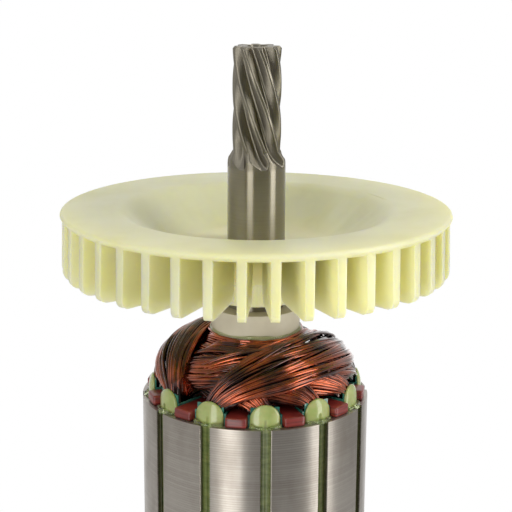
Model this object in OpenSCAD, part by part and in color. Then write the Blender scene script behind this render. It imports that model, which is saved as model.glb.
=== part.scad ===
// Armature of a universal motor: a slotted lamination stack with its
// winding, commutator, cooling fan and a shaft that ends in a helical pinion.
// The origin is the middle of the front bearing seat, +Z points to the pinion,
// and the middle of one slot and of one fan blade faces -Y.

/* [Shaft] */
// Diameter of the front bearing seat
front_seat_d = 12; // [11:0.5:13]
// Length of the front bearing seat, from the fan to the pinion's run-out
front_seat_len = 16.6; // [14:0.2:20]
// Diameter of the rear bearing seat
rear_seat_d = 8; // [7:0.5:9]
// Length of the rear bearing seat
rear_seat_len = 9; // [7:0.5:12]
// Diameter of the shaft under the commutator
commutator_seat_d = 10; // [10:0.5:11]

/* [Pinion] */
// Number of teeth
pinion_teeth = 8; // [7:1:9]
// Diameter over the teeth
pinion_tip_d = 10; // [9:0.1:10.4]
// Diameter at the bottom of the gullets
pinion_root_d = 6.4; // [6:0.1:7]
// Length of the full teeth
pinion_len = 21.3; // [16:0.1:26]
// Advance of the helix in one turn
pinion_lead = 72.5; // [60:0.5:90]
// Length over which the gullets run out into the shaft
runout_len = 3.3; // [3:0.1:4]

/* [Fan] */
// Outside diameter of the fan
fan_d = 81; // [76:0.5:86]
// Height of the fan's top face above the stack
fan_above_stack = 40.1; // [39:0.1:42]
// Height of the fan from the lower blade edge to the top face
fan_h = 13.25; // [12:0.25:15]
// Number of blades
fan_blades = 40; // [30:2:44]
// Thickness of a blade at the top
blade_top_w = 1.9; // [1.6:0.1:2.2]
// Thickness of a blade at its lower edge
blade_low_w = 1.6; // [1.2:0.1:1.8]
// Thickness of the fan's disc and dish
fan_wall = 1.6; // [1.4:0.1:2]
// Depth of the dish below the top face
dish_depth = 7.8; // [6:0.1:8.5]
// Radius of the flat floor of the dish
dish_floor_r = 18; // [17:0.1:18.6]

/* [Lamination stack] */
// Outside diameter of the stack
stack_d = 48; // [47:0.5:49]
// Length of the stack
stack_len = 60; // [40:1:80]
// Width of a tooth between two slots
tooth_w = 4.4; // [4.2:0.1:4.6]
// Width of a slot's opening at the outside
slot_open_w = 2.4; // [2:0.1:2.6]
// Thickness of the fibre end plates
plate_t = 2.1; // [1.6:0.1:2.4]
// Height of a slot wedge's round end above the stack
wedge_rise = 4.6; // [4.2:0.1:5]

/* [Winding] */
// Height of the top coil's middle line above the stack
crown_h = 11.1; // [10.5:0.1:12]
// Thickness of a coil where it crosses the end
coil_t = 2.6; // [2.2:0.1:3]
// Width of the last coils where they cross the end
coil_w = 9.6; // [9:0.1:10.4]
// Outside diameter of the insulating sleeves on the shaft
sleeve_d = 18.7; // [18:0.1:19]
// Height of the front sleeve above the stack
front_sleeve_h = 19.25; // [18.5:0.05:20]

/* [Commutator] */
// Diameter of the brush track
commutator_d = 33; // [31:0.5:34]
// Length of the commutator
commutator_len = 26; // [22:1:30]
// Number of bars
commutator_bars_n = 24; // [24:12:24]
// Width of the gap between two bars
bar_gap = 0.6; // [0.4:0.1:0.8]

/* [Hidden] */
slots = 12;
coil_pitch = 5;
steps = slots / 2;
slot_step = 360 / slots;
fine = 96;
eps = 0.01;

// Heights, counted from the origin
dish_z = -front_seat_len / 2;
seat_top = front_seat_len / 2;
fan_top = dish_z + dish_depth;
fan_low = fan_top - fan_h;
stack_top = fan_top - fan_above_stack;
stack_low = stack_top - stack_len;
hub_low = stack_top + front_sleeve_h + 2.2;
pinion_low = seat_top + runout_len;
pinion_top = pinion_low + pinion_len;
end_rise = plate_t + 0.2;
rear_sleeve_h = 18.5;
commutator_top = stack_low - rear_sleeve_h - 1.5;
commutator_low = commutator_top - commutator_len;
rear_shoulder = commutator_low - 1.5;
shaft_low = rear_shoulder - rear_seat_len;

// Shaft
seat_r = front_seat_d / 2;
rear_seat_r = rear_seat_d / 2;
end_chamfer = 0.5;
knurl_r = seat_r + 0.2;
centre_r = 1.25;
centre_mouth_r = 2.1;
centre_cone = 1.5;
centre_depth = 3.5;

// Fan
fan_r = fan_d / 2;
hub_r = 10.5;
cup_r = 19.6;
cup_low = stack_top + 28.4;
lip_round = 5;
wall_angle = 38;
lip_z = fan_top - lip_round;
lip_end_z = lip_z + lip_round * cos(wall_angle);
lip_end_r = dish_floor_r + (lip_end_z - dish_z) / tan(wall_angle);
lip_r = lip_end_r + lip_round * sin(wall_angle);
blade_in_r = 22.8;
blade_corner = 1.8;

// Slots: the half width at a distance along the slot's middle line
slot_bottom = stack_d / 2 - 12;
slot_lip_in = stack_d / 2 - 2.25;
slot_lip_out = stack_d / 2 - 1.05;
film = 0.25;
flap_out = stack_d / 2 - 2.55;
wedge_w = 6.1;
wedge_h = 1.35;
wedge_edge = 0.5;
plate_r = stack_d / 2 - 0.7;
function slot_hw(x, inset = 0) =
    x * tan(slot_step / 2) - (tooth_w / 2 + inset) / cos(slot_step / 2);

// Winding
leg_gap = 0.05;
leg_split = stack_d / 2 - 6.2;
leg_bottom = slot_bottom + film + leg_gap;
leg_top = flap_out - film - leg_gap;
rings = 8;
span = coil_pitch * slot_step;
lay_angle = 50;
lay_step = 1.2;
first_coil_w = 8;
first_coil_air = 2.6;
second_sag = 0.4;

slot_names = ["01", "02", "03", "04", "05", "06", "07", "08", "09", "10", "11", "12"];

// ---------------------------------------------------------------- helpers

module tube(r_out, r_in, low, high) {
    translate([0, 0, low])
        difference() {
            cylinder(r = r_out, h = high - low, $fn = fine);
            translate([0, 0, -1])
                cylinder(r = r_in, h = high - low + 2, $fn = fine);
        }
}

// Puts a child that is drawn along +X at a slot, counted from the one at -Y
module at_slot(k) {
    rotate([0, 0, k * slot_step - 90])
        children();
}

// ------------------------------------------------------------------ shaft

// Radius of the turned blank and of the cut teeth over the pinion's height
function blank_r(z) =
    z > pinion_top - 0.45 ? pinion_tip_d / 2 - (z - pinion_top + 0.45) :
    z > pinion_low ? pinion_tip_d / 2 :
    min(seat_r - 0.02, pinion_tip_d / 2 + (pinion_low - z) * 0.85);
cutter_r = 5.6;
cut_start = pinion_low + 1.6;
function rise(z) =
    z > cut_start ? 0 :
    cutter_r - sqrt(max(0, cutter_r * cutter_r - (cut_start - z) * (cut_start - z)));

// Points across one tooth: place in the pitch, and share of the tooth's depth
tooth_points = [
    [-0.37, 0.05], [-0.25, 0.5], [-0.11, 1], [0.11, 1], [0.25, 0.5], [0.37, 0.05], [0.5, 0]
];
tooth_depth = (pinion_tip_d - pinion_root_d) / 2;
function cut_r(share, z) =
    min(blank_r(z), pinion_root_d / 2 + share * tooth_depth + rise(z));

module pinion_teeth_solid() {
    low_z = [for (i = [0:7]) seat_top - 0.6 + i * (runout_len + 2.2) / 7];
    top_z = [for (i = [1:14]) let(a = low_z[7]) a + i * (pinion_top - 0.45 - a) / 14];
    heights = concat(low_z, top_z, [pinion_top]);
    per_ring = pinion_teeth * len(tooth_points);
    turn = 360 / pinion_lead;
    points = [
        for (z = heights)
        for (t = [0:pinion_teeth - 1])
        for (p = tooth_points)
            let(a = (t + p[0]) * 360 / pinion_teeth - 90 + (pinion_top - z) * turn)
            let(r = cut_r(p[1], z))
            [r * cos(a), r * sin(a), z]
    ];
    last = (len(heights) - 1) * per_ring;
    sides = [
        for (k = [0:len(heights) - 2])
        for (i = [0:per_ring - 1])
            let(a = k * per_ring + i)
            let(b = k * per_ring + (i + 1) % per_ring)
            for (f = [[a, a + per_ring, b], [b, a + per_ring, b + per_ring]]) f
    ];
    bottom = [[for (i = [0:per_ring - 1]) i]];
    top = [[for (i = [0:per_ring - 1]) last + per_ring - 1 - i]];
    polyhedron(points = points, faces = concat(sides, bottom, top), convexity = 6);
}

// Drilled centre at a shaft's end, which opens at z = 0 and runs up
module centre_hole() {
    slope = (centre_mouth_r - centre_r) / centre_cone;
    mouth = centre_mouth_r + eps * slope;
    translate([0, 0, -eps])
        cylinder(r = centre_r, h = centre_depth, $fn = 32);
    translate([0, 0, -eps])
        cylinder(r1 = mouth, r2 = centre_r - 0.1 * slope, h = centre_cone + 0.1, $fn = 32);
}

module shaft() {
    color([0.62, 0.6, 0.56])
        difference() {
            union() {
                pinion_teeth_solid();
                translate([0, 0, commutator_top])
                    cylinder(r = seat_r, h = seat_top - commutator_top, $fn = fine);
                translate([0, 0, hub_low + 1])
                    cylinder(r = knurl_r, h = dish_z - hub_low - 1, $fn = fine);
                translate([0, 0, rear_shoulder])
                    cylinder(r = commutator_seat_d / 2, h = commutator_top - rear_shoulder, $fn = fine);
                translate([0, 0, shaft_low + end_chamfer])
                    cylinder(r = rear_seat_r, h = rear_seat_len - end_chamfer, $fn = fine);
                translate([0, 0, shaft_low])
                    cylinder(r1 = rear_seat_r - end_chamfer, r2 = rear_seat_r, h = end_chamfer, $fn = fine);
            }
            translate([0, 0, pinion_top])
                mirror([0, 0, 1])
                    centre_hole();
            translate([0, 0, shaft_low])
                centre_hole();
        }
}

// -------------------------------------------------------------------- fan

// A round stretch of an outline, from one angle to another
function arc(cx, cz, r, a1, a2, n) =
    [for (i = [0:n]) let(a = a1 + (a2 - a1) * i / n) [cx + r * cos(a), cz + r * sin(a)]];

// Half section of the disc, dish, floor and hub, as radius and height
module fan_section() {
    under_r = lip_end_r + fan_wall * sin(wall_angle);
    under_z = lip_end_z - fan_wall * cos(wall_angle);
    cup_top = under_z - (under_r - cup_r) * tan(wall_angle);
    polygon(concat(
        [[knurl_r, hub_low], [hub_r - 0.4, hub_low], [hub_r, hub_low + 0.4], [hub_r, cup_low]],
        [[cup_r - 0.5, cup_low], [cup_r, cup_low + 0.5], [cup_r, cup_top], [under_r, under_z]],
        [[under_r + 1.6, fan_top - fan_wall], [fan_r - 0.7, fan_top - fan_wall]],
        arc(fan_r - 0.7, fan_top - 0.7, 0.7, 0, 90, 6),
        arc(lip_r, lip_z, lip_round, 90, 90 + wall_angle, 6),
        [[dish_floor_r, dish_z], [knurl_r, dish_z]]
    ));
}

// Half section of the space that the blades fill
module blade_section() {
    polygon(concat(
        [[blade_in_r, fan_top - 0.8], [blade_in_r, fan_low + 2.6]],
        arc(blade_in_r + 2.6, fan_low + 2.2, 2.6, 190, 270, 6),
        arc(fan_r - 0.15 - blade_corner, fan_low + blade_corner, blade_corner, 270, 360, 6),
        [[fan_r - 0.5, fan_top - 0.8]]
    ));
}

module blade_bars() {
    length = fan_r - blade_in_r + 2;
    for (i = [0:fan_blades - 1])
        rotate([0, 0, i * 360 / fan_blades - 90])
            translate([blade_in_r - 1, 0, 0])
                rotate([90, 0, 90])
                    linear_extrude(height = length)
                        polygon([
                            [-blade_low_w / 2, fan_low - 1], [blade_low_w / 2, fan_low - 1],
                            [blade_top_w / 2, fan_top - 0.8], [-blade_top_w / 2, fan_top - 0.8]
                        ]);
}

module fan() {
    color([0.9, 0.88, 0.7])
        union() {
            rotate_extrude($fn = fine)
                fan_section();
            intersection() {
                blade_bars();
                difference() {
                    rotate_extrude($fn = fine)
                        blade_section();
                    translate([0, 0, -eps])
                        rotate_extrude($fn = fine)
                            fan_inside();
                }
            }
        }
}

// The dish's hollow, which no blade may enter
module fan_inside() {
    polygon([
        [0, dish_z], [dish_floor_r, dish_z], [lip_end_r, lip_end_z], [lip_r, fan_top], [0, fan_top]
    ]);
}

// ---------------------------------------------------- sleeves and stack

module front_sleeve() {
    color([0.72, 0.69, 0.6])
        tube(sleeve_d / 2, seat_r, stack_top + plate_t, stack_top + front_sleeve_h);
}

module rear_sleeve() {
    color([0.72, 0.69, 0.6])
        tube(sleeve_d / 2, seat_r, stack_low - rear_sleeve_h, stack_low - plate_t);
}

module slot_outline() {
    foot = slot_hw(slot_bottom);
    side = slot_hw(slot_lip_in);
    polygon([
        [slot_bottom, -foot], [slot_lip_in, -side], [slot_lip_out, -slot_open_w / 2],
        [stack_d / 2 + 1, -slot_open_w / 2], [stack_d / 2 + 1, slot_open_w / 2],
        [slot_lip_out, slot_open_w / 2], [slot_lip_in, side], [slot_bottom, foot]
    ]);
}

module lamination_stack() {
    color([0.52, 0.5, 0.47])
        translate([0, 0, stack_low])
            difference() {
                cylinder(r = stack_d / 2, h = stack_len, $fn = fine);
                translate([0, 0, -1])
                    cylinder(r = seat_r, h = stack_len + 2, $fn = fine);
                for (k = [0:slots - 1])
                    at_slot(k)
                        translate([0, 0, -1])
                            linear_extrude(height = stack_len + 2)
                                slot_outline();
            }
}

module end_plate(low) {
    far = plate_r + 1;
    color([0.5, 0.16, 0.14])
        translate([0, 0, low])
            difference() {
                cylinder(r = plate_r, h = plate_t, $fn = fine);
                translate([0, 0, -1])
                    cylinder(r = seat_r, h = plate_t + 2, $fn = fine);
                for (k = [0:slots - 1])
                    at_slot(k)
                        translate([0, 0, -1])
                            linear_extrude(height = plate_t + 2)
                                polygon([
                                    [slot_bottom, -slot_hw(slot_bottom)], [far, -slot_hw(far)],
                                    [far, slot_hw(far)], [slot_bottom, slot_hw(slot_bottom)]
                                ]);
            }
}

// ------------------------------------------------- slot liners and wedges

// Closed outline of the space inside the slot, drawn in by an inset
module slot_space(inset) {
    low = slot_bottom + inset;
    high = flap_out - inset;
    polygon([
        [low, -slot_hw(low, inset)], [high, -slot_hw(high, inset)],
        [high, slot_hw(high, inset)], [low, slot_hw(low, inset)]
    ]);
}

module slot_liner(k) {
    over = plate_t + 0.3;
    color([0.2, 0.5, 0.42])
        at_slot(k)
            union() {
                translate([0, 0, stack_low - over])
                    linear_extrude(height = stack_len + 2 * over)
                        difference() {
                            slot_space(0);
                            slot_space(film);
                        }
                translate([flap_out - film, -2.9, stack_top])
                    cube([film, 5.8, wedge_rise - 0.6]);
                translate([flap_out - film, -2.9, stack_low - wedge_rise + 0.6])
                    cube([film, 5.8, wedge_rise - 0.6]);
            }
}

// Section of a wedge: flat inside, crowned outside
module wedge_section() {
    bulge = wedge_h - wedge_edge;
    bulge_r = (wedge_w * wedge_w / 4 + bulge * bulge) / (2 * bulge);
    intersection() {
        translate([wedge_h - bulge_r, 0])
            circle(r = bulge_r, $fn = 64);
        translate([0, -wedge_w / 2])
            square([wedge_h, wedge_w]);
    }
}

// Round end of a wedge, above the plane z = 0
module wedge_end() {
    rotate([0, 90, 0])
        rotate([0, 0, 90])
            rotate_extrude(angle = 180, $fn = 64)
                intersection() {
                    rotate(90)
                        wedge_section();
                    square([wedge_w, wedge_h]);
                }
}

module slot_wedge(k) {
    high = stack_top + wedge_rise - wedge_w / 2;
    low = stack_low - wedge_rise + wedge_w / 2;
    color([0.55, 0.65, 0.38])
        at_slot(k)
            translate([flap_out, 0, 0])
                union() {
                    translate([0, 0, low])
                        linear_extrude(height = high - low)
                            wedge_section();
                    translate([0, 0, high])
                        wedge_end();
                    translate([0, 0, low])
                        mirror([0, 0, 1])
                            wedge_end();
                }
}

// ---------------------------------------------------------------- winding

// A coil lies in slot k and slot k + 5. The coils were wound two at a time,
// in opposite slots, so coil k belongs to winding step k modulo 6, and the
// later coil of the two in a slot lies in the outer half of that slot.
function step_of(k) = (k % steps + steps) % steps;
function leg_is_outer(k, left) =
    left ? step_of(k) > step_of(k - coil_pitch) : step_of(k) > step_of(k + coil_pitch);
function leg_low(outer) = outer ? leg_split + leg_gap : leg_bottom;
function leg_high(outer) = outer ? leg_top : leg_split - leg_gap;
function leg_mid(outer) = (leg_low(outer) + leg_high(outer)) / 2;
function mix(a, b, m) = a + (b - a) * m;
function unit(v) = v / norm(v);

// Each winding step lies a little further out than the one before it, along
// the line on which the crossings lean. The second coil of a pair is pulled lower.
function late(k) = step_of(k) / (steps - 1);
function sag(k) = k >= steps ? second_sag * pow(late(k), 2) : 0;
function crown_z(k) = crown_h - (steps - 1 - step_of(k)) * lay_step * sin(lay_angle) - sag(k);
function crown_r(k) = sleeve_d / 2 + first_coil_air + step_of(k) * lay_step * cos(lay_angle);

// Middle line over the front end, for an angle from -90 at the left leg to 90
function head_point(k, a) =
    let(c = max(0, cos(a)))
    let(side = (1 + sin(a)) / 2)
    let(leg_r = mix(leg_mid(leg_is_outer(k, true)), leg_mid(leg_is_outer(k, false)), side))
    let(u = mix(leg_r * cos(span / 2), crown_r(k), pow(c, 1.25)))
    let(v = leg_r * sin(span / 2) * sin(a))
    [u, v, mix(end_rise, crown_z(k), pow(c, 0.75))];

// Section across a coil: half widths inside, in the middle and outside, and
// half height
function section_points(w_in, w_mid, w_out, h) =
    [[w_mid, 0], [w_out, h], [-w_out, h], [-w_mid, 0], [-w_in, -h], [w_in, -h]];
function leg_section(outer) =
    let(low = leg_low(outer))
    let(high = leg_high(outer))
    let(inset = film + leg_gap)
    let(half = (high - low) / 2)
    section_points(slot_hw(low, inset), slot_hw(low + half, inset), slot_hw(high, inset), half);
function crown_section(k) =
    let(half = mix(first_coil_w, coil_w, late(k)) / 2)
    section_points(half - coil_t / 2, half, half - coil_t / 2, coil_t / 2);

module coil_loop(k) {
    front = [for (i = [0:rings]) -90 + 180 * i / rings];
    // Each ring: middle point, direction away from the winding, and section
    half = [
        for (a = front)
            let(p = head_point(k, a))
            let(m = pow(max(0, cos(a)), 0.6))
            let(out = unit([p[0], p[1], 0]))
            let(tilt = lay_angle * m)
            let(outer = leg_is_outer(k, a < 0))
            [p, out * cos(tilt) + [0, 0, sin(tilt)], leg_section(outer) * (1 - m) + crown_section(k) * m]
    ];
    count = 2 * len(half);
    loop = [
        for (i = [0:count - 1])
            i < len(half) ?
                [half[i][0] + [0, 0, stack_top], half[i][1], half[i][2]] :
                let(h = half[count - 1 - i])
                [[h[0][0], h[0][1], stack_low - h[0][2]], [h[1][0], h[1][1], -h[1][2]], h[2]]
    ];
    points = [
        for (i = [0:count - 1])
            let(along = unit(loop[(i + 1) % count][0] - loop[(i + count - 1) % count][0]))
            let(raw = loop[i][1])
            let(up = unit(raw - along * (raw * along)))
            let(across = cross(along, up))
            for (s = loop[i][2]) loop[i][0] + across * s[0] + up * s[1]
    ];
    n = len(loop[0][2]);
    faces = [
        for (i = [0:count - 1])
        for (j = [0:n - 1])
            let(a = i * n + j)
            let(b = i * n + (j + 1) % n)
            let(c = ((i + 1) % count) * n + j)
            let(d = ((i + 1) % count) * n + (j + 1) % n)
            for (f = [[a, b, c], [b, d, c]]) f
    ];
    rotate([0, 0, k * slot_step - 90 + span / 2])
        polyhedron(points = points, faces = faces, convexity = 8);
}

// A coil gives way to the coils that were wound over it later
module coil(k) {
    color([0.55, 0.27, 0.14])
        difference() {
            coil_loop(k);
            for (j = [0:slots - 1])
                if (step_of(j) > step_of(k))
                    coil_loop(j);
            if (k >= steps)
                coil_loop(k - steps);
            tube_space();
        }
}

// The room of both sleeves with a little air
module tube_space() {
    translate([0, 0, stack_low - rear_sleeve_h])
        cylinder(r = sleeve_d / 2 + 0.06, h = stack_len + rear_sleeve_h + front_sleeve_h, $fn = 48);
}

// ------------------------------------------------------------- commutator

bar_r = commutator_d / 2;
hub_out_r = bar_r - 3.2;
riser_r = bar_r + 1.6;
riser_t = 3;
riser_slot = 1.3;
lead_reach = rear_sleeve_h - 6;

module commutator_hub() {
    color([0.2, 0.13, 0.1])
        union() {
            tube(hub_out_r, commutator_seat_d / 2, commutator_low, commutator_top);
            tube(bar_r - 0.6, hub_out_r - 1, commutator_low, commutator_low + 1.2);
            tube(bar_r - 0.6, hub_out_r - 1, commutator_top - 1.2, commutator_top);
        }
}

// One bar with its riser, drawn along +X
module commutator_bar() {
    step = 360 / commutator_bars_n;
    low = commutator_low + 1.2;
    high = commutator_top - 1.2;
    half = bar_gap / 2;
    intersection() {
        difference() {
            union() {
                tube(bar_r, hub_out_r, low, high);
                tube(riser_r, hub_out_r, high - riser_t, high);
            }
            translate([riser_r - riser_slot - 0.1, -riser_slot / 2, high - riser_t - eps])
                cube([riser_slot + 1, riser_slot, riser_t + 1]);
        }
        translate([0, 0, low - 1])
            linear_extrude(height = high - low + 2)
                polygon([
                    [half / sin(step / 2), 0],
                    [30, 30 * tan(step / 2) - half / cos(step / 2)],
                    [30, -30 * tan(step / 2) + half / cos(step / 2)]
                ]);
    }
}

module commutator_bars() {
    color([0.72, 0.42, 0.25])
        for (i = [0:commutator_bars_n - 1])
            rotate([0, 0, (i + 0.5) * 360 / commutator_bars_n])
                commutator_bar();
}

// Each bar's lead lies in the slot of its riser and runs up into the winding
module coil_leads() {
    lead_r = 0.6;
    seat = riser_r - riser_slot / 2 - 0.1;
    high = commutator_top - 1.2;
    color([0.5, 0.25, 0.14])
        difference() {
            for (i = [0:commutator_bars_n - 1])
                rotate([0, 0, (i + 0.5) * 360 / commutator_bars_n])
                    translate([seat, 0, high - riser_t])
                        union() {
                            cylinder(r = lead_r, h = riser_t + lead_r, $fn = 8);
                            translate([0, 0, riser_t + lead_r / 2])
                                rotate([0, -atan((seat - 14.5) / (lead_reach - riser_t)), 0])
                                    cylinder(r = lead_r, h = lead_reach - riser_t, $fn = 8);
                        }
            for (k = [0:slots - 1])
                coil_loop(k);
        }
}

// ------------------------------------------------------------- all pieces

shaft();
fan();
front_sleeve();
rear_sleeve();
lamination_stack();
end_plate(stack_top);  // front_end_plate
end_plate(stack_low - plate_t);  // rear_end_plate
commutator_hub();
commutator_bars();
coil_leads();
for (k = [0:slots - 1]) {
    slot_liner(k);
    slot_wedge(k);
    coil(k);
}
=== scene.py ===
"""Looks of the motor armature: materials, single wires, resin, a finely skinned shaft, light and camera.

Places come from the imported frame. Pieces are measured in millimetres, as in the part's source, and become
metres when they are built. Camera, lamps, screens and floor are in metres.
"""
import math
import random

import bmesh
import bpy
import numpy as np
from mathutils import Matrix, Vector


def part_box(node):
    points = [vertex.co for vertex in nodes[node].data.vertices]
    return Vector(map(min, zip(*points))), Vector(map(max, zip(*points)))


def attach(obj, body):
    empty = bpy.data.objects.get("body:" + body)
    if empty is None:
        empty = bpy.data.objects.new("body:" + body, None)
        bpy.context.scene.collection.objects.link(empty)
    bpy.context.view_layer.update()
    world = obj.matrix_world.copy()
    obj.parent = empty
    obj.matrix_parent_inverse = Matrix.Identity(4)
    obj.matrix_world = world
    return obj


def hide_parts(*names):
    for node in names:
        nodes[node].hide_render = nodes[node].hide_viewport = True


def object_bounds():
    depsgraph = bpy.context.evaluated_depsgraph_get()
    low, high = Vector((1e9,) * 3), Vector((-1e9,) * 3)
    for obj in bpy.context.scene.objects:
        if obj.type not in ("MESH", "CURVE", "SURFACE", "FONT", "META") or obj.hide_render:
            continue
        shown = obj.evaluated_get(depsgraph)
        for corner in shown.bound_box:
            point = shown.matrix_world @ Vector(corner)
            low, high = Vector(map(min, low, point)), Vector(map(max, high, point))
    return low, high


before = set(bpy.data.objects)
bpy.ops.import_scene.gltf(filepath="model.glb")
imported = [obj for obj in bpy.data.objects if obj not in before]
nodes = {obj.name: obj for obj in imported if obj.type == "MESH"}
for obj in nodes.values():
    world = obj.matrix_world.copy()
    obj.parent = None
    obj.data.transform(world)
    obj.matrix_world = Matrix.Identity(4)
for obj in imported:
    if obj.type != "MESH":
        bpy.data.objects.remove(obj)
cad_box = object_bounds()

MM = 0.001
RANDOM_TURN = 6.28  # radians, for random phases
rng = random.Random(7)

# ------------------------------------------------------------------ places
# The origin is the middle of the front bearing seat, and +Z points to the pinion.

shaft_low, shaft_top = (corner[2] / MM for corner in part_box("shaft"))
stack_low, stack_top = (corner[2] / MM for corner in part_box("lamination_stack"))
commutator_low, commutator_top = (corner[2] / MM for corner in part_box("commutator_hub"))
plate_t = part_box("front_end_plate")[1][2] / MM - stack_top
sleeve_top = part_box("front_sleeve")[1][2] / MM
sleeve_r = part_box("front_sleeve")[1][0] / MM

# Sizes that the frame's boxes don't show, as in the part's source
stack_r = 24.0
sheet_t = 0.5
slot_count = 12
slot_mouth_half = 1.2
wedge_r = stack_r - 1.2
fan_hub_r = 10.5
pinion_teeth = 8
pinion_tip_r = 5.0
pinion_root_r = 3.2
pinion_len = 21.3
pinion_lead = 72.5
runout_len = 3.3
pinion_chamfer = 0.45
cutter_r = 5.6
seat_r = 6.0
knurl_r = seat_r + 0.2
rear_seat_r = 4.0
commutator_seat_r = 5.0
end_chamfer = 0.5
centre_r = 1.25
centre_mouth_r = 2.1
centre_cone = 1.5
centre_depth = 3.5

seat_top = shaft_top - (pinion_len + runout_len)
dish_z = -seat_top
knurl_low = sleeve_top + 3.2
rear_shoulder = commutator_low - 1.5
pinion_low = seat_top + runout_len
cut_start = pinion_low + 1.6

slot_names = ["%02d" % n for n in range(1, slot_count + 1)]
wedge_names = ["slot_wedge_" + n for n in slot_names]


# --------------------------------------------------------------- materials

class Shader:
    """A material under construction: one Principled shader and its helpers."""

    def __init__(self, name, color, roughness, **sockets):
        self.material = bpy.data.materials.new(name)
        self.material.use_nodes = True
        self.tree = self.material.node_tree
        self.shader = self.tree.nodes["Principled BSDF"]
        self.shader.inputs["Base Color"].default_value = (*color, 1)
        self.shader.inputs["Roughness"].default_value = roughness
        for socket, value in sockets.items():
            self.shader.inputs[socket.replace("_", " ")].default_value = value
        self.place = self.node("ShaderNodeTexCoord").outputs["Object"]
        self.last_bump = None

    def node(self, kind, **settings):
        made = self.tree.nodes.new(kind)
        for key, value in settings.items():
            setattr(made, key, value)
        return made

    def link(self, source, target):
        self.tree.links.new(source, target)

    def scaled(self, x, y, z):
        mapping = self.node("ShaderNodeMapping")
        mapping.inputs["Scale"].default_value = (x, y, z)
        self.link(self.place, mapping.inputs["Vector"])
        return mapping.outputs["Vector"]

    def noise(self, scale, detail=3.0, vector=None, rough=0.5):
        made = self.node("ShaderNodeTexNoise")
        made.inputs["Scale"].default_value = scale
        made.inputs["Detail"].default_value = detail
        made.inputs["Roughness"].default_value = rough
        self.link(vector or self.place, made.inputs["Vector"])
        return made.outputs["Fac"]

    def range(self, value, low, high, out_low, out_high):
        made = self.node("ShaderNodeMapRange")
        made.inputs["From Min"].default_value = low
        made.inputs["From Max"].default_value = high
        made.inputs["To Min"].default_value = out_low
        made.inputs["To Max"].default_value = out_high
        self.link(value, made.inputs["Value"])
        return made.outputs["Result"]

    def blend(self, factor, first, second):
        made = self.node("ShaderNodeMix", data_type="RGBA")
        self.link(factor, made.inputs["Factor"])
        for socket, value in ((made.inputs["A"], first), (made.inputs["B"], second)):
            if isinstance(value, tuple):
                socket.default_value = (*value, 1)
            else:
                self.link(value, socket)
        return made.outputs["Result"]

    def color(self, output):
        self.link(output, self.shader.inputs["Base Color"])

    def roughness(self, output):
        self.link(output, self.shader.inputs["Roughness"])

    def bump(self, height, distance_mm, strength=1.0):
        made = self.node("ShaderNodeBump")
        made.inputs["Strength"].default_value = strength
        made.inputs["Distance"].default_value = distance_mm * MM
        self.link(height, made.inputs["Height"])
        if self.last_bump:
            self.link(self.last_bump, made.inputs["Normal"])
        self.last_bump = made.outputs["Normal"]
        self.link(self.last_bump, self.shader.inputs["Normal"])

    def axes(self):
        split = self.node("ShaderNodeSeparateXYZ")
        self.link(self.place, split.inputs["Vector"])
        return split.outputs["X"], split.outputs["Y"], split.outputs["Z"]

    def math(self, operation, first, second=None):
        made = self.node("ShaderNodeMath", operation=operation)
        for socket, value in zip(made.inputs, (first, second)):
            if isinstance(value, (int, float)):
                socket.default_value = value
            elif value is not None:
                self.link(value, socket)
        return made.outputs[0]

    def radius_mm(self):
        x, y, _ = self.axes()
        squares = self.math("ADD", self.math("MULTIPLY", x, x), self.math("MULTIPLY", y, y))
        return self.math("MULTIPLY", self.math("SQRT", squares), 1 / MM)

    def height_mm(self):
        return self.math("MULTIPLY", self.axes()[2], 1 / MM)

    def around_angle(self):
        x, y, _ = self.axes()
        return self.math("ARCTAN2", y, x)

    def turned(self, amount):
        """Grinding lines that run round the axis and draw highlights out along it."""
        tangent = self.node("ShaderNodeTangent", direction_type="RADIAL", axis="Z")
        self.link(tangent.outputs[0], self.shader.inputs["Tangent"])
        self.shader.inputs["Anisotropic"].default_value = amount
        self.shader.inputs["Anisotropic Rotation"].default_value = 0.25


def ground_steel():
    s = Shader("ground_steel", (0.31, 0.295, 0.25), 0.3, Metallic=1.0)
    s.turned(1.0)
    rings = s.noise(1.0, 2, s.scaled(8, 8, 4200))
    wear = s.noise(90, 3)
    tone = s.blend(s.range(wear, 0.35, 0.65, 0, 1), (0.29, 0.265, 0.212), (0.36, 0.335, 0.275))
    s.color(s.blend(s.range(rings, 0.4, 0.75, 0, 0.25), tone, (0.2, 0.19, 0.165)))
    teeth = s.range(s.height_mm(), seat_top - 0.3, seat_top + 0.3, 0, 1)
    s.roughness(s.math("ADD", s.range(wear, 0.3, 0.7, 0.27, 0.33), s.math("MULTIPLY", teeth, 0.16)))
    s.bump(rings, 0.002, 0.3)
    s.bump(s.math("MULTIPLY", s.noise(1.0, 3, s.scaled(1500, 1500, 600)), teeth), 0.03, 0.6)
    return s.material


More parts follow.
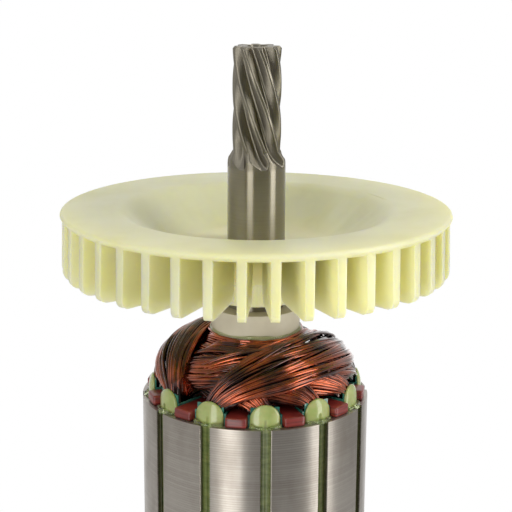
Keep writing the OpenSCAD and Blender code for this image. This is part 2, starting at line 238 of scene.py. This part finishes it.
def lamination_steel():
    s = Shader("lamination_steel", (0.46, 0.43, 0.4), 0.34, Metallic=1.0)
    s.turned(0.8)
    sheet = s.math("MULTIPLY", s.height_mm(), 1 / sheet_t)
    number = s.node("ShaderNodeTexWhiteNoise", noise_dimensions="1D")
    s.link(s.math("FLOOR", sheet), number.inputs["W"])
    place = s.math("FRACT", sheet)
    joint = s.math("MULTIPLY", s.range(place, 0.0, 0.16, 1, 0), s.range(s.noise(240, 2), 0.35, 0.6, 0.3, 1))
    smear = s.noise(1.0, 3, s.scaled(500, 500, 2000))
    cloud = s.noise(1.0, 4, s.scaled(170, 170, 60))
    tone = s.blend(number.outputs["Value"], (0.38, 0.348, 0.312), (0.43, 0.4, 0.36))
    tone = s.blend(s.range(smear, 0.5, 0.75, 0, 0.2), tone, (0.5, 0.47, 0.435))
    tone = s.blend(s.range(cloud, 0.45, 0.7, 0, 0.6), tone, (0.28, 0.247, 0.213))
    s.color(s.blend(s.math("MULTIPLY", joint, 0.7), tone, (0.13, 0.113, 0.095)))
    s.roughness(s.range(cloud, 0.3, 0.7, 0.3, 0.42))
    wave = s.math("SINE", s.math("MULTIPLY", sheet, 2 * math.pi))
    s.bump(wave, 0.012, 0.5)
    return s.material


def fan_nylon():
    s = Shader("fan_nylon", (0.8, 0.78, 0.5), 0.36, Subsurface_Weight=1.0, Subsurface_Scale=0.007,
               Specular_IOR_Level=0.5)
    s.shader.inputs["Subsurface Radius"].default_value = (1.0, 0.85, 0.22)
    cloud = s.noise(55, 3)
    flow = s.noise(1.0, 3, s.scaled(90, 90, 260))
    tone = s.blend(s.range(cloud, 0.35, 0.65, 0, 1), (0.78, 0.755, 0.45), (0.84, 0.815, 0.52))
    s.color(s.blend(s.range(flow, 0.55, 0.8, 0, 0.4), tone, (0.72, 0.68, 0.36)))
    s.roughness(s.range(flow, 0.3, 0.7, 0.34, 0.5))
    on_hub = s.math("LESS_THAN", s.radius_mm(), fan_hub_r + 0.3)
    flute_count = 94
    flutes = s.math("SINE", s.math("MULTIPLY", s.around_angle(), flute_count))
    s.bump(s.math("MULTIPLY", flutes, on_hub), 0.03, 0.7)
    s.bump(s.noise(900, 2), 0.01, 0.35)
    s.bump(s.noise(45, 2), 0.12, 0.25)
    return s.material


def sleeve_plastic():
    s = Shader("sleeve_plastic", (0.58, 0.53, 0.41), 0.5)
    cloud = s.noise(120, 4)
    s.color(s.blend(s.range(cloud, 0.35, 0.65, 0, 1), (0.53, 0.485, 0.37), (0.64, 0.59, 0.46)))
    s.bump(s.noise(700, 3), 0.02, 0.4)
    return s.material


def vulcanised_fibre():
    s = Shader("vulcanised_fibre", (0.19, 0.03, 0.026), 0.36, Coat_Weight=0.35, Coat_Roughness=0.07)
    layers = s.noise(1.0, 2, s.scaled(150, 150, 2600))
    s.color(s.blend(s.range(layers, 0.3, 0.7, 0, 1), (0.09, 0.009, 0.008), (0.28, 0.034, 0.027)))
    s.bump(s.noise(450, 3), 0.08, 0.6)
    return s.material


def liner_film():
    s = Shader("liner_film", (0.03, 0.2, 0.16), 0.25, Coat_Weight=0.8, Coat_Roughness=0.05)
    cloud = s.noise(300, 3)
    s.color(s.blend(s.range(cloud, 0.35, 0.65, 0, 1), (0.012, 0.11, 0.085), (0.05, 0.25, 0.19)))
    s.bump(s.noise(200, 2), 0.1, 0.5)
    return s.material


def wedge_laminate():
    s = Shader("wedge_laminate", (0.3, 0.36, 0.12), 0.34, Coat_Weight=1.0, Coat_Roughness=0.03,
               Subsurface_Weight=0.15, Subsurface_Scale=0.001)
    cloth = s.noise(1.0, 3, s.scaled(420, 420, 1500))
    cloud = s.noise(260, 3)
    tone = s.blend(s.range(cloud, 0.35, 0.65, 0, 1), (0.29, 0.36, 0.1), (0.41, 0.47, 0.17))
    tone = s.blend(s.range(cloth, 0.5, 0.75, 0, 0.6), tone, (0.42, 0.4, 0.17))
    height = s.height_mm()
    # Within the stack's height the strip lies recessed in its slot: the darker colour there is painted
    # shade of the recess, together with soaked varnish.
    inside = s.math("MULTIPLY", s.range(height, stack_top - 1, stack_top + 0.5, 1, 0),
                    s.range(height, stack_low - 0.5, stack_low + 1, 0, 1))
    varnish_and_painted_shade = s.blend(s.range(cloth, 0.3, 0.7, 0, 1), (0.1, 0.13, 0.035), (0.2, 0.24, 0.075))
    s.color(s.blend(inside, tone, varnish_and_painted_shade))
    s.bump(s.noise(350, 3), 0.16, 0.6)
    return s.material


def enamelled_copper(name, dark, bright):
    s = Shader(name, bright, 0.15, Metallic=1.0, Coat_Weight=1.0, Coat_Roughness=0.03, Coat_IOR=1.55)
    island = s.node("ShaderNodeNewGeometry").outputs["Random Per Island"]
    patches = s.noise(150, 2)
    tone = s.math("ADD", s.range(island, 0, 1, -0.55, 0.35), s.range(patches, 0.35, 0.65, 0.0, 0.95))
    s.color(s.blend(tone, dark, bright))
    s.roughness(s.range(patches, 0.3, 0.7, 0.1, 0.2))
    return s.material


def commutator_copper():
    s = Shader("commutator_copper", (0.6, 0.3, 0.16), 0.3, Metallic=1.0)
    turned = s.noise(1.0, 3, s.scaled(60, 60, 5200))
    s.color(s.blend(s.range(turned, 0.3, 0.7, 0, 1), (0.5, 0.24, 0.12), (0.68, 0.36, 0.2)))
    s.bump(turned, 0.01, 0.5)
    return s.material


def moulding_compound():
    s = Shader("moulding_compound", (0.035, 0.02, 0.015), 0.4)
    cloud = s.noise(400, 4)
    s.color(s.blend(s.range(cloud, 0.35, 0.65, 0, 1), (0.025, 0.014, 0.01), (0.06, 0.035, 0.025)))
    s.bump(cloud, 0.02, 0.3)
    return s.material


def clear_resin():
    s = Shader("clear_resin", (0.62, 0.7, 0.4), 0.05, Transmission_Weight=0.9, IOR=1.5)
    cloud = s.noise(200, 2)
    s.color(s.blend(s.range(cloud, 0.35, 0.65, 0, 1), (0.55, 0.64, 0.33), (0.75, 0.78, 0.55)))
    s.bump(s.noise(260, 2), 0.12, 0.5)
    return s.material


copper = enamelled_copper("enamelled_copper", (0.045, 0.004, 0.001), (0.5, 0.095, 0.022))
# The coils' cores under the wires: the same enamelled copper, painted far darker as painted shade deep
# between and under the wires.
shade_painted_core_copper = enamelled_copper("shade_painted_core_copper", (0.012, 0.004, 0.002), (0.08, 0.02, 0.009))
resin = clear_resin()
node_materials = {
    "shaft": ground_steel(),
    "fan": fan_nylon(),
    "front_sleeve": sleeve_plastic(),
    "lamination_stack": lamination_steel(),
    "front_end_plate": vulcanised_fibre(),
    "commutator_hub": moulding_compound(),
    "commutator_bars": commutator_copper(),
    "coil_leads": copper,
    "slot_liner": liner_film(),
    "slot_wedge": wedge_laminate(),
    "coil": shade_painted_core_copper,
}
node_materials["rear_sleeve"] = node_materials["front_sleeve"]
node_materials["rear_end_plate"] = node_materials["front_end_plate"]

for name, node in nodes.items():
    kind = name if name in node_materials else name.rsplit("_", 1)[0]
    node.data.materials.clear()
    node.data.materials.append(node_materials[kind])


def smooth_by_angle(obj, degrees):
    """Smooth faces, with sharp edges where two faces meet at a wide angle."""
    mesh = obj.data
    mesh.shade_smooth()
    mesh.set_sharp_from_angle(angle=math.radians(degrees))


# ------------------------------------------------------------- wire pieces
# The same rules as in the part's source: coil k lies in slots k and k + 5.

pitch = 5
steps = slot_count // 2
slot_angle = 360 / slot_count
span = pitch * slot_angle
tooth_w = 4.4
slot_bottom_r = stack_r - 12
flap_r = stack_r - 2.55
film_t = 0.25
leg_gap = 0.05
leg_split_r = stack_r - 6.2
crown_h = 11.1
lay_angle = 50
lay_step = 1.2
second_sag = 0.4
first_coil_air = 2.6
first_coil_w = 8
coil_w = 9.6
coil_t = 2.6
end_rise = plate_t + 0.2

# How the single wires lie; a share counts across a coil, up to 1 at its side next to the sleeve
wire_r = 0.28
wires_per_end = 44
wires_per_strand = 6
loose_every = 7
loose_lift = 0.2
wire_inset = 0.1
core_inset = 0.65
sleeve_air = 0.45
sleeve_climb = 14.3


def mix(a, b, m):
    return a + (b - a) * m


def unit(v):
    return v / np.linalg.norm(v)


def slot_half(x, inset):
    half = math.radians(slot_angle / 2)
    return x * math.tan(half) - (tooth_w / 2 + inset) / math.cos(half)


def leg_is_outer(k, left):
    other = k - pitch if left else k + pitch
    return k % steps > other % steps


def leg_range(outer):
    if outer:
        return leg_split_r + leg_gap, flap_r - film_t - leg_gap
    return slot_bottom_r + film_t + leg_gap, leg_split_r - leg_gap


def late(k):
    return (k % steps) / (steps - 1)


def head_point(k, a):
    """Middle line of coil k over an end, for an angle from -90 at the left leg to 90."""
    c = max(0.0, math.cos(math.radians(a)))
    s = math.sin(math.radians(a))
    left, right = (sum(leg_range(leg_is_outer(k, side))) / 2 for side in (True, False))
    leg = mix(left, right, (1 + s) / 2)
    half = math.radians(span / 2)
    lean = math.radians(lay_angle)
    sag = second_sag * late(k) ** 2 if k >= steps else 0
    crown_r = sleeve_r + first_coil_air + (k % steps) * lay_step * math.cos(lean)
    crown_z = crown_h - (steps - 1 - k % steps) * lay_step * math.sin(lean) - sag
    return np.array([
        mix(leg * math.cos(half), crown_r, c ** 1.25),
        leg * math.sin(half) * s,
        mix(end_rise, crown_z, c ** 0.75),
    ])


def section(w_in, w_mid, w_out, h):
    """A six-sided section from its half widths inside, in the middle and outside, and half its height."""
    return np.array([(w_mid, 0), (w_out, h), (-w_out, h), (-w_mid, 0), (-w_in, -h), (w_in, -h)])


def leg_section(outer):
    low, high = leg_range(outer)
    inset = film_t + leg_gap
    half = (high - low) / 2
    return section(slot_half(low, inset), slot_half(low + half, inset), slot_half(high, inset), half)


def crown_section(k):
    half = mix(first_coil_w, coil_w, late(k)) / 2
    return section(half - coil_t / 2, half, half - coil_t / 2, coil_t / 2)


def head_frame(k, a):
    """Middle point, directions across and out of the bundle, and its section at an angle."""
    p = head_point(k, a)
    along = unit(head_point(k, min(a + 1.5, 90)) - head_point(k, max(a - 1.5, -90)))
    m = max(0.0, math.cos(math.radians(a))) ** 0.6
    tilt = math.radians(lay_angle * m)
    out = unit(np.array([p[0], p[1], 0.0]))
    raw = out * math.cos(tilt) + np.array([0, 0, math.sin(tilt)])
    upright = np.array([0, 0, 1.0]) if a < 0 else np.array([0, 0, -1.0])
    along = unit(mix(upright, along, min(1.0, m * 1.6)))
    up = unit(raw - along * raw.dot(along))
    return p, np.cross(along, up), up, leg_section(leg_is_outer(k, a < 0)) * (1 - m) + crown_section(k) * m


def around(points, share):
    """Point at a share of the way round an outline, from one inner corner over the outside to the other."""
    ring = [points[5], *points[:5]]
    lengths = [np.linalg.norm(b - a) for a, b in zip(ring, ring[1:])]
    left = min(max(share, 0), 1) * sum(lengths)
    for i, length in enumerate(lengths):
        if left <= length:
            return mix(ring[i], ring[i + 1], left / length)
        left -= length
    return ring[-1]


def tube_mesh(paths, radius, sides=6, swell=None):
    """Vertices and faces of round wires along paths, with a factor for each point if they swell."""
    vertices, faces = [], []
    for path in paths:
        base = len(vertices)
        count = len(path)
        side = None
        for i, p in enumerate(path):
            along = unit(path[min(i + 1, count - 1)] - path[max(i - 1, 0)])
            if side is None:
                side = unit(np.cross(along, [0.31, 0.52, 0.8]))
            side = unit(side - along * side.dot(along))
            other = np.cross(along, side)
            r = radius * (swell[i] if swell else 1)
            for j in range(sides):
                t = 2 * math.pi * j / sides
                vertices.append(p + r * (side * math.cos(t) + other * math.sin(t)))
        for i in range(count - 1):
            for j in range(sides):
                a = base + i * sides + j
                b = base + i * sides + (j + 1) % sides
                faces.append((a, b, b + sides, a + sides))
        faces.append(tuple(base + j for j in reversed(range(sides))))
        faces.append(tuple(base + (count - 1) * sides + j for j in range(sides)))
    return vertices, faces


def piece(name, vertices, faces, material):
    """A piece of the body from points in millimetres."""
    mesh = bpy.data.meshes.new(name)
    mesh.from_pydata([tuple(c * MM for c in v) for v in vertices], [], faces)
    mesh.shade_smooth()
    mesh.materials.append(material)
    obj = bpy.data.objects.new(name, mesh)
    bpy.context.scene.collection.objects.link(obj)
    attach(obj, "root")
    return obj


def drawn_to_sleeve(point, share, free):
    """Pull the wires on a coil's inner side in to the sleeve, where they climb a little."""
    draw = free ** 2 * min(1, max(0, (share - 0.5) / 0.45)) ** 1.5
    flat = math.hypot(point[0], point[1])
    near = sleeve_r + sleeve_air + (1 - share) * 4
    if flat > near:
        point[:2] *= mix(1, near / flat, draw)
    point[2] = max(point[2], mix(point[2], sleeve_climb - (1 - share) * 7, draw))
    return point


def wire_path(frames, share, twist, sway, phase, waves, depth):
    """One wire over an end, at a share of each section's outline that drifts from leg to leg."""
    path = []
    for a, (p, across, up, outline) in frames:
        t = a / 90
        free = 1 - t * t
        s = share + twist * t * free + sway * free * math.sin(phase + waves * 3.1 * t)
        x, y = around(outline, s)
        x *= mix(0.4, 1, min(1, math.cos(math.radians(a)) * 1.2))
        shrink = 1 + (depth - wire_inset) / max(1.0, math.hypot(x, y))
        path.append(drawn_to_sleeve(p + (across * x + up * y) * shrink, s, free))
    into_slot = np.array([0, 0, -2.0])
    return [path[0] + into_slot, *path, path[-1] + into_slot]


def placed(path, turn, front):
    """A path turned about the axis and set on the stack's front or, upside down, on its rear."""
    spin = np.array([[math.cos(turn), -math.sin(turn), 0], [math.sin(turn), math.cos(turn), 0], [0, 0, 1]])
    points = [spin @ point for point in path]
    return [np.array([x, y, stack_top + z if front else stack_low - z]) for x, y, z in points]


def wire_paths(k, front):
    """Paths of the wires that show on one end of coil k; a strand's wires share its twist and its layer."""
    turn = math.radians(k * slot_angle - 90 + span / 2)
    frames = [(a, head_frame(k, a)) for a in np.linspace(-90, 90, 43)]
    paths = []
    for w in range(wires_per_end):
        if w % wires_per_strand == 0:
            twist = rng.uniform(-0.13, 0.13)
            layer = rng.uniform(0, 0.3)
        loose = w % loose_every == 2
        share = (w + 0.5) / wires_per_end
        sway = rng.uniform(0.03, 0.07) if loose else rng.uniform(0.008, 0.03)
        phase = rng.uniform(0, RANDOM_TURN)
        waves = rng.uniform(0.5, 1.3)
        depth = layer + (loose_lift if loose else rng.uniform(-0.14, 0.06))
        paths.append(placed(wire_path(frames, share, twist, sway, phase, waves, depth), turn, front))
    return paths


for k, number in enumerate(slot_names):
    for end in ("front", "rear"):
        vertices, faces = tube_mesh(wire_paths(k, end == "front"), wire_r)
        piece("wires_%s_%s" % (end, number), vertices, faces, copper)

for name in ("front_sleeve", "rear_sleeve", "lamination_stack", "commutator_hub"):
    smooth_by_angle(nodes[name], 28)


# ------------------------------------------------- rounded and varnished pieces

def stand_in(name, made_name, mesh):
    """A piece that stands for a CAD node."""
    obj = bpy.data.objects.new(made_name, mesh)
    bpy.context.scene.collection.objects.link(obj)
    smooth_by_angle(obj, 50)
    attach(obj, "root")
    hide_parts(name)


def softened(name, width, sharp_degrees=35):
    """Put a copy with rounded edges in a CAD node's place."""
    mesh = nodes[name].data.copy()
    mesh.name = name + "_rounded"
    shape = bmesh.new()
    shape.from_mesh(mesh)
    bmesh.ops.remove_doubles(shape, verts=shape.verts, dist=0.01 * MM)
    bmesh.ops.dissolve_limit(
        shape, angle_limit=math.radians(1), use_dissolve_boundaries=False,
        verts=shape.verts, edges=shape.edges)
    limit = math.radians(sharp_degrees)
    sharp = [e for e in shape.edges if len(e.link_faces) == 2 and e.calc_face_angle(0) > limit]
    bmesh.ops.bevel(
        shape, geom=sharp, offset=width * MM, segments=3, profile=0.5,
        affect="EDGES", clamp_overlap=True)
    bmesh.ops.triangulate(shape, faces=shape.faces)
    shape.to_mesh(mesh)
    shape.free()
    stand_in(name, name + "_rounded", mesh)


def core(number):
    """The inside of a coil: its solid, drawn in under the wires."""
    name = "coil_" + number
    mesh = nodes[name].data.copy()
    shape = bmesh.new()
    shape.from_mesh(mesh)
    bmesh.ops.remove_doubles(shape, verts=shape.verts, dist=0.01 * MM)
    shape.normal_update()
    moves = [v.normal * -core_inset * MM for v in shape.verts]
    for v, move in zip(shape.verts, moves):
        v.co += move
    shape.to_mesh(mesh)
    shape.free()
    stand_in(name, "core_" + number, mesh)


for number in slot_names:
    core(number)
for name in wedge_names:
    softened(name, 0.22)
softened("front_end_plate", 0.4)
softened("rear_end_plate", 0.4)


def bead(name, path, radii):
    """A run of hardened resin of uneven thickness along a path."""
    vertices, faces = tube_mesh([path], 1.0, 10, radii)
    piece(name, vertices, faces, resin)


def resin_ring(radius, height, wave, count=96):
    """Path and thickness of a ring about the axis."""
    path, radii = [], []
    phases = [rng.uniform(0, RANDOM_TURN) for _ in range(4)]
    for i in range(count + 1):
        a = 2 * math.pi * i / count
        ripple = math.sin(3 * a + phases[0]) * 0.5
        ripple += math.sin(7 * a + phases[1]) * 0.3
        ripple += math.sin(13 * a + phases[2]) * 0.2
        path.append(np.array([radius * math.cos(a), radius * math.sin(a), height + wave * ripple]))
        radii.append(0.3 + 0.12 * math.sin(5 * a + phases[3]) + 0.05 * math.sin(17 * a))
    return path, radii


def resin_foot(middle, half_width=3.0):
    """Path and thickness of the run that joins a wedge's dome to the stack, about an angle."""
    path, radii = [], []
    phase = rng.uniform(0, RANDOM_TURN)
    for t in np.linspace(-1, 1, 15):
        r = wedge_r + 0.45 - 0.75 * t * t
        a = middle + t * half_width / r
        height = stack_top + 0.12 + 0.9 * max(0, abs(t) - 0.75)
        path.append(np.array([r * math.cos(a), r * math.sin(a), height]))
        radii.append(0.4 + 0.14 * math.sin(phase + 3.5 * t) + 0.1 * math.sin(2 * phase + 9 * t))
    return path, radii


bead("resin_sleeve_ring", *resin_ring(sleeve_r + 0.05, stack_top + sleeve_climb + 0.3, 0.15))
for k, number in enumerate(slot_names):
    bead("resin_foot_" + number, *resin_foot(math.radians(k * slot_angle - 90)))


# ------------------------------------------------------- shaft, fan and sheets

def loft(rings):
    """A closed skin over rings of equal point counts, each counterclockwise seen from above."""
    count = len(rings[0])
    faces = [tuple(reversed(range(count))), tuple((len(rings) - 1) * count + i for i in range(count))]
    for k in range(len(rings) - 1):
        for i in range(count):
            a, b = k * count + i, k * count + (i + 1) % count
            faces.append((a, b, b + count, a + count))
    return [point for ring in rings for point in ring], faces


def circle(radius, height, count, start=0.0):
    angles = start + np.linspace(0, 2 * math.pi, count, endpoint=False)
    return [np.array([radius * math.cos(a), radius * math.sin(a), height]) for a in angles]


def tooth_share(place):
    """Share of the tooth's depth at a place in the pitch, with the corners a little rounded."""
    places = (-0.5, -0.37, -0.25, -0.11, 0.11, 0.25, 0.37, 0.5)
    shares = (0, 0.05, 0.5, 1, 1, 0.5, 0.05, 0)
    near = [(place + d + 0.5) % 1 - 0.5 for d in np.linspace(-0.05, 0.05, 7)]
    return sum(np.interp(p, places, shares) for p in near) / len(near)


def blank_r(z):
    """Radius of the turned blank at a height."""
    if z > pinion_low:
        return pinion_tip_r - max(0, z - shaft_top + pinion_chamfer)
    return min(seat_r - 0.02, pinion_tip_r + (pinion_low - z) * 0.85)


def gullet_rise(z):
    """How far the gullets' floor has risen on the cutter's radius at a height."""
    below = max(0, cut_start - z)
    return cutter_r - math.sqrt(cutter_r ** 2 - below ** 2)


def pinion():
    """The eight teeth, their run-out and the front drilled centre."""
    across = 36
    profile = [tooth_share(i / across - 0.5) for i in range(across)]
    heights = np.linspace(seat_top - 0.6, shaft_top - pinion_chamfer, 120)
    rings = []
    for z in [*heights, shaft_top - pinion_chamfer / 2, shaft_top]:
        ring = []
        for i in range(pinion_teeth * across):
            tooth, point = divmod(i, across)
            depth = profile[point] * (pinion_tip_r - pinion_root_r)
            r = min(blank_r(z), pinion_root_r + depth + gullet_rise(z))
            turn = (tooth + point / across - 0.5) / pinion_teeth + (shaft_top - z) / pinion_lead
            a = math.radians(turn * 360 - 90)
            ring.append(np.array([r * math.cos(a), r * math.sin(a), z]))
        rings.append(ring)
    first = math.radians(-0.5 * 360 / pinion_teeth - 90)
    for radius, depth in ((centre_mouth_r, 0), (centre_r, centre_cone), (centre_r, centre_depth)):
        rings.append(circle(radius, shaft_top - depth, pinion_teeth * across, first))
    return loft(rings)


def turned_shaft():
    """All of the shaft behind the pinion, from the end of the rear drilled centre."""
    outline = (
        (centre_r, shaft_low + centre_depth), (centre_r, shaft_low + centre_cone),
        (centre_mouth_r, shaft_low), (rear_seat_r - end_chamfer, shaft_low),
        (rear_seat_r, shaft_low + end_chamfer), (rear_seat_r, rear_shoulder),
        (commutator_seat_r, rear_shoulder), (commutator_seat_r, commutator_top),
        (seat_r, commutator_top), (seat_r, knurl_low), (knurl_r, knurl_low),
        (knurl_r, dish_z), (seat_r, dish_z), (seat_r, seat_top))
    return loft([circle(r, z, 128) for r, z in outline])


def fine_shaft():
    """The shaft's own form in a finer skin, so that the teeth shade smoothly."""
    vertices, faces = turned_shaft()
    more, more_faces = pinion()
    base = len(vertices)
    faces += [tuple(base + i for i in face) for face in more_faces]
    made = piece("shaft_fine", vertices + more, faces, node_materials["shaft"])
    smooth_by_angle(made, 35)
    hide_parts("shaft")


fine_shaft()
softened("fan", 0.3, 60)


def sheet_edges():
    """The sheets' burred edges along the slots, two rows for each slot."""
    vertices, faces = [], []
    corners = ((0, 3, 2, 1), (4, 5, 6, 7), (0, 1, 5, 4), (1, 2, 6, 5), (2, 3, 7, 6), (3, 0, 4, 7))
    root = slot_mouth_half + 0.05
    inner = stack_r - 0.8
    for k in range(slot_count):
        angle = math.radians(k * slot_angle - 90)
        outward = np.array([math.cos(angle), math.sin(angle), 0])
        across = np.array([-math.sin(angle), math.cos(angle), 0])
        for side in (-1, 1):
            for i in range(round((stack_top - stack_low) / sheet_t)):
                low = stack_low + i * sheet_t + 0.08
                tip = slot_mouth_half - rng.uniform(0.12, 0.19)
                base = len(vertices)
                burr = ((inner, root), (stack_r - 0.06, root), (stack_r - 0.12, tip), (inner, tip))
                for z in (low, low + 0.3):
                    for r, y in burr:
                        vertices.append(outward * r + across * side * y + np.array([0, 0, z]))
                faces += [tuple(base + c for c in (f if side > 0 else reversed(f))) for f in corners]
    made = piece("sheet_edges", vertices, faces, node_materials["lamination_stack"])
    made.data.shade_flat()


sheet_edges()

# ---------------------------------------------------------- light and view

camera_sensor = 36  # mm, as is the lens
camera_lens = 99.3727
camera_azimuth = math.radians(-5.3)
camera_reach = 0.2871
camera_height = (stack_top + 101.8) * MM
camera_pitch = math.radians(14.09)
camera_roll = math.radians(0.35)
studio_white = (1, 0.985, 0.955)
screen_reach = 1.05
floor_r = 0.2


def add_camera():
    data = bpy.data.cameras.new("camera")
    data.sensor_width = camera_sensor
    data.lens = camera_lens
    data.clip_start = 0.01
    camera = bpy.data.objects.new("camera", data)
    bpy.context.scene.collection.objects.link(camera)
    camera.location = (
        camera_reach * math.sin(camera_azimuth), -camera_reach * math.cos(camera_azimuth), camera_height)
    face = Matrix.Rotation(camera_azimuth, 4, "Z") @ Matrix.Rotation(math.pi / 2 - camera_pitch, 4, "X")
    camera.matrix_world = Matrix.Translation(camera.location) @ face @ Matrix.Rotation(camera_roll, 4, "Z")
    bpy.context.scene.camera = camera


def add_softbox(name, azimuth, reach, height, width, tall, watts):
    """A rectangular lamp that faces the origin; azimuth counts in degrees from -Y towards +X."""
    data = bpy.data.lights.new(name, "AREA")
    data.shape = "RECTANGLE"
    data.size = width
    data.size_y = tall
    data.energy = watts
    data.color = studio_white
    lamp = bpy.data.objects.new(name, data)
    bpy.context.scene.collection.objects.link(lamp)
    angle = math.radians(azimuth)
    lamp.location = (reach * math.sin(angle), -reach * math.cos(angle), height)
    lamp.rotation_euler = (Vector() - lamp.location).to_track_quat("-Z", "Y").to_euler()
    lamp.visible_camera = False


def rays_to_background(tree):
    """1 for the rays that show the background: straight from the camera, mirrored or through glass."""
    path = tree.nodes.new("ShaderNodeLightPath")
    seen = path.outputs["Is Camera Ray"]
    for ray in ("Is Glossy Ray", "Is Transmission Ray"):
        most = tree.nodes.new("ShaderNodeMath")
        most.operation = "MAXIMUM"
        tree.links.new(seen, most.inputs[0])
        tree.links.new(path.outputs[ray], most.inputs[1])
        seen = most.outputs[0]
    return seen


def set_world():
    world = bpy.data.worlds.new("world")
    bpy.context.scene.world = world
    world.use_nodes = True
    tree = world.node_tree
    tree.nodes.clear()
    plain = tree.nodes.new("ShaderNodeBackground")
    plain.inputs["Color"].default_value = (1, 0.985, 0.96, 1)
    plain.inputs["Strength"].default_value = 0.45
    white = tree.nodes.new("ShaderNodeBackground")
    white.inputs["Color"].default_value = (1, 1, 1, 1)
    white.inputs["Strength"].default_value = 1.0
    choose = tree.nodes.new("ShaderNodeMixShader")
    tree.links.new(rays_to_background(tree), choose.inputs[0])
    tree.links.new(plain.outputs[0], choose.inputs[1])
    tree.links.new(white.outputs[0], choose.inputs[2])
    out = tree.nodes.new("ShaderNodeOutputWorld")
    tree.links.new(choose.outputs[0], out.inputs[0])


def staged(name, vertices, faces, material):
    mesh = bpy.data.meshes.new(name)
    mesh.from_pydata(vertices, [], faces)
    mesh.materials.append(material)
    obj = bpy.data.objects.new(name, mesh)
    bpy.context.scene.collection.objects.link(obj)
    return obj


def floor_material():
    """Pale, with the object's shadow near its foot, and plain white further out."""
    s = Shader("floor", (0.88, 0.88, 0.88), 0.7)
    s.color(s.blend(s.range(s.noise(20, 2), 0.3, 0.7, 0, 1), (0.86, 0.86, 0.86), (0.9, 0.9, 0.9)))
    glow = s.node("ShaderNodeEmission")
    share = s.math("MULTIPLY", rays_to_background(s.tree), s.range(s.radius_mm(), 40, 190, 0.5, 1))
    choose = s.node("ShaderNodeMixShader")
    s.link(share, choose.inputs[0])
    s.link(s.shader.outputs[0], choose.inputs[1])
    s.link(glow.outputs[0], choose.inputs[2])
    s.link(choose.outputs[0], s.tree.nodes["Material Output"].inputs["Surface"])
    return s.material


def add_floor():
    """A round pale table top under the shaft's end."""
    low = cad_box[0][2] - 0.0005
    count = 96
    angles = [2 * math.pi * i / count for i in range(count)]
    vertices = [(floor_r * math.cos(a), floor_r * math.sin(a), low) for a in angles]
    staged("floor", vertices, [tuple(range(count))], floor_material())


def add_screen(name, azimuth_from, azimuth_to, tone):
    """A grey studio screen that only the gloss of the metal shows."""
    s = Shader(name, (tone, tone, tone), 0.8)
    s.color(s.blend(s.noise(6, 2), (tone * 0.8,) * 3, (tone * 1.2,) * 3))
    count = 24
    vertices = []
    for i in range(count + 1):
        a = math.radians(azimuth_from + (azimuth_to - azimuth_from) * i / count)
        for z in (-0.8, 1.0):
            vertices.append((screen_reach * math.sin(a), -screen_reach * math.cos(a), z))
    faces = [(2 * i, 2 * i + 1, 2 * i + 3, 2 * i + 2) for i in range(count)]
    screen = staged(name, vertices, faces, s.material)
    screen.visible_camera = False
    screen.visible_diffuse = False
    screen.visible_transmission = False
    screen.visible_shadow = False


add_camera()
set_world()
add_floor()
add_screen("screen_left", -155, -52, 0.95)
add_screen("screen_front", -52, 82, 0.32)
add_screen("screen_right", 82, 145, 0.8)
add_softbox("key_left", -30, 0.75, -0.02, 0.29, 1.1, 3.25)
add_softbox("key_right", 64, 0.75, -0.02, 0.29, 1.1, 3.5)
add_softbox("top_fill", 80, 0.6, 0.7, 0.35, 0.35, 1.9)

bpy.context.scene.view_settings.view_transform = "Standard"
